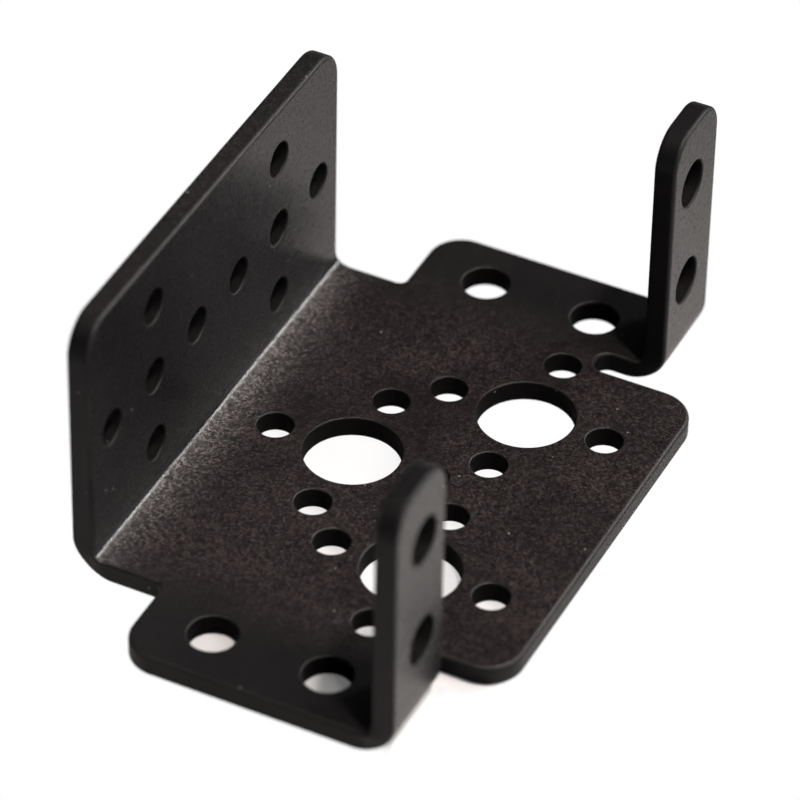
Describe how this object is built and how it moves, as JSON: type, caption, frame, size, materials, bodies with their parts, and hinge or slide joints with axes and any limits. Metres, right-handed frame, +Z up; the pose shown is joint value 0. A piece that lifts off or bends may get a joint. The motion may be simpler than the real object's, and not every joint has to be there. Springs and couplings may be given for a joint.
{
  "type": "servo mounting bracket",
  "caption": "Folded sheet-metal bracket with a wall and two ears around a pierced base, which holds a standard-size hobby servo and bolts to servo horns or other brackets.",
  "frame": {"origin": "centre of the bounding box in X and Y, on the underside of the base", "axes": "+X along the wall, the longest side; +Y from the wall towards the ears and the tongue; +Z up from the base. The bracket mirrors in the plane X = 0."},
  "size_m": [0.0582, 0.0366, 0.0249],
  "materials": {
    "powder_coat": "near-black, slightly warm, fine-textured satin powder coat on aluminium sheet"
  },
  "bodies": {
    "root": {"servo_bracket": "powder_coat"}
  },
  "joints": []
}
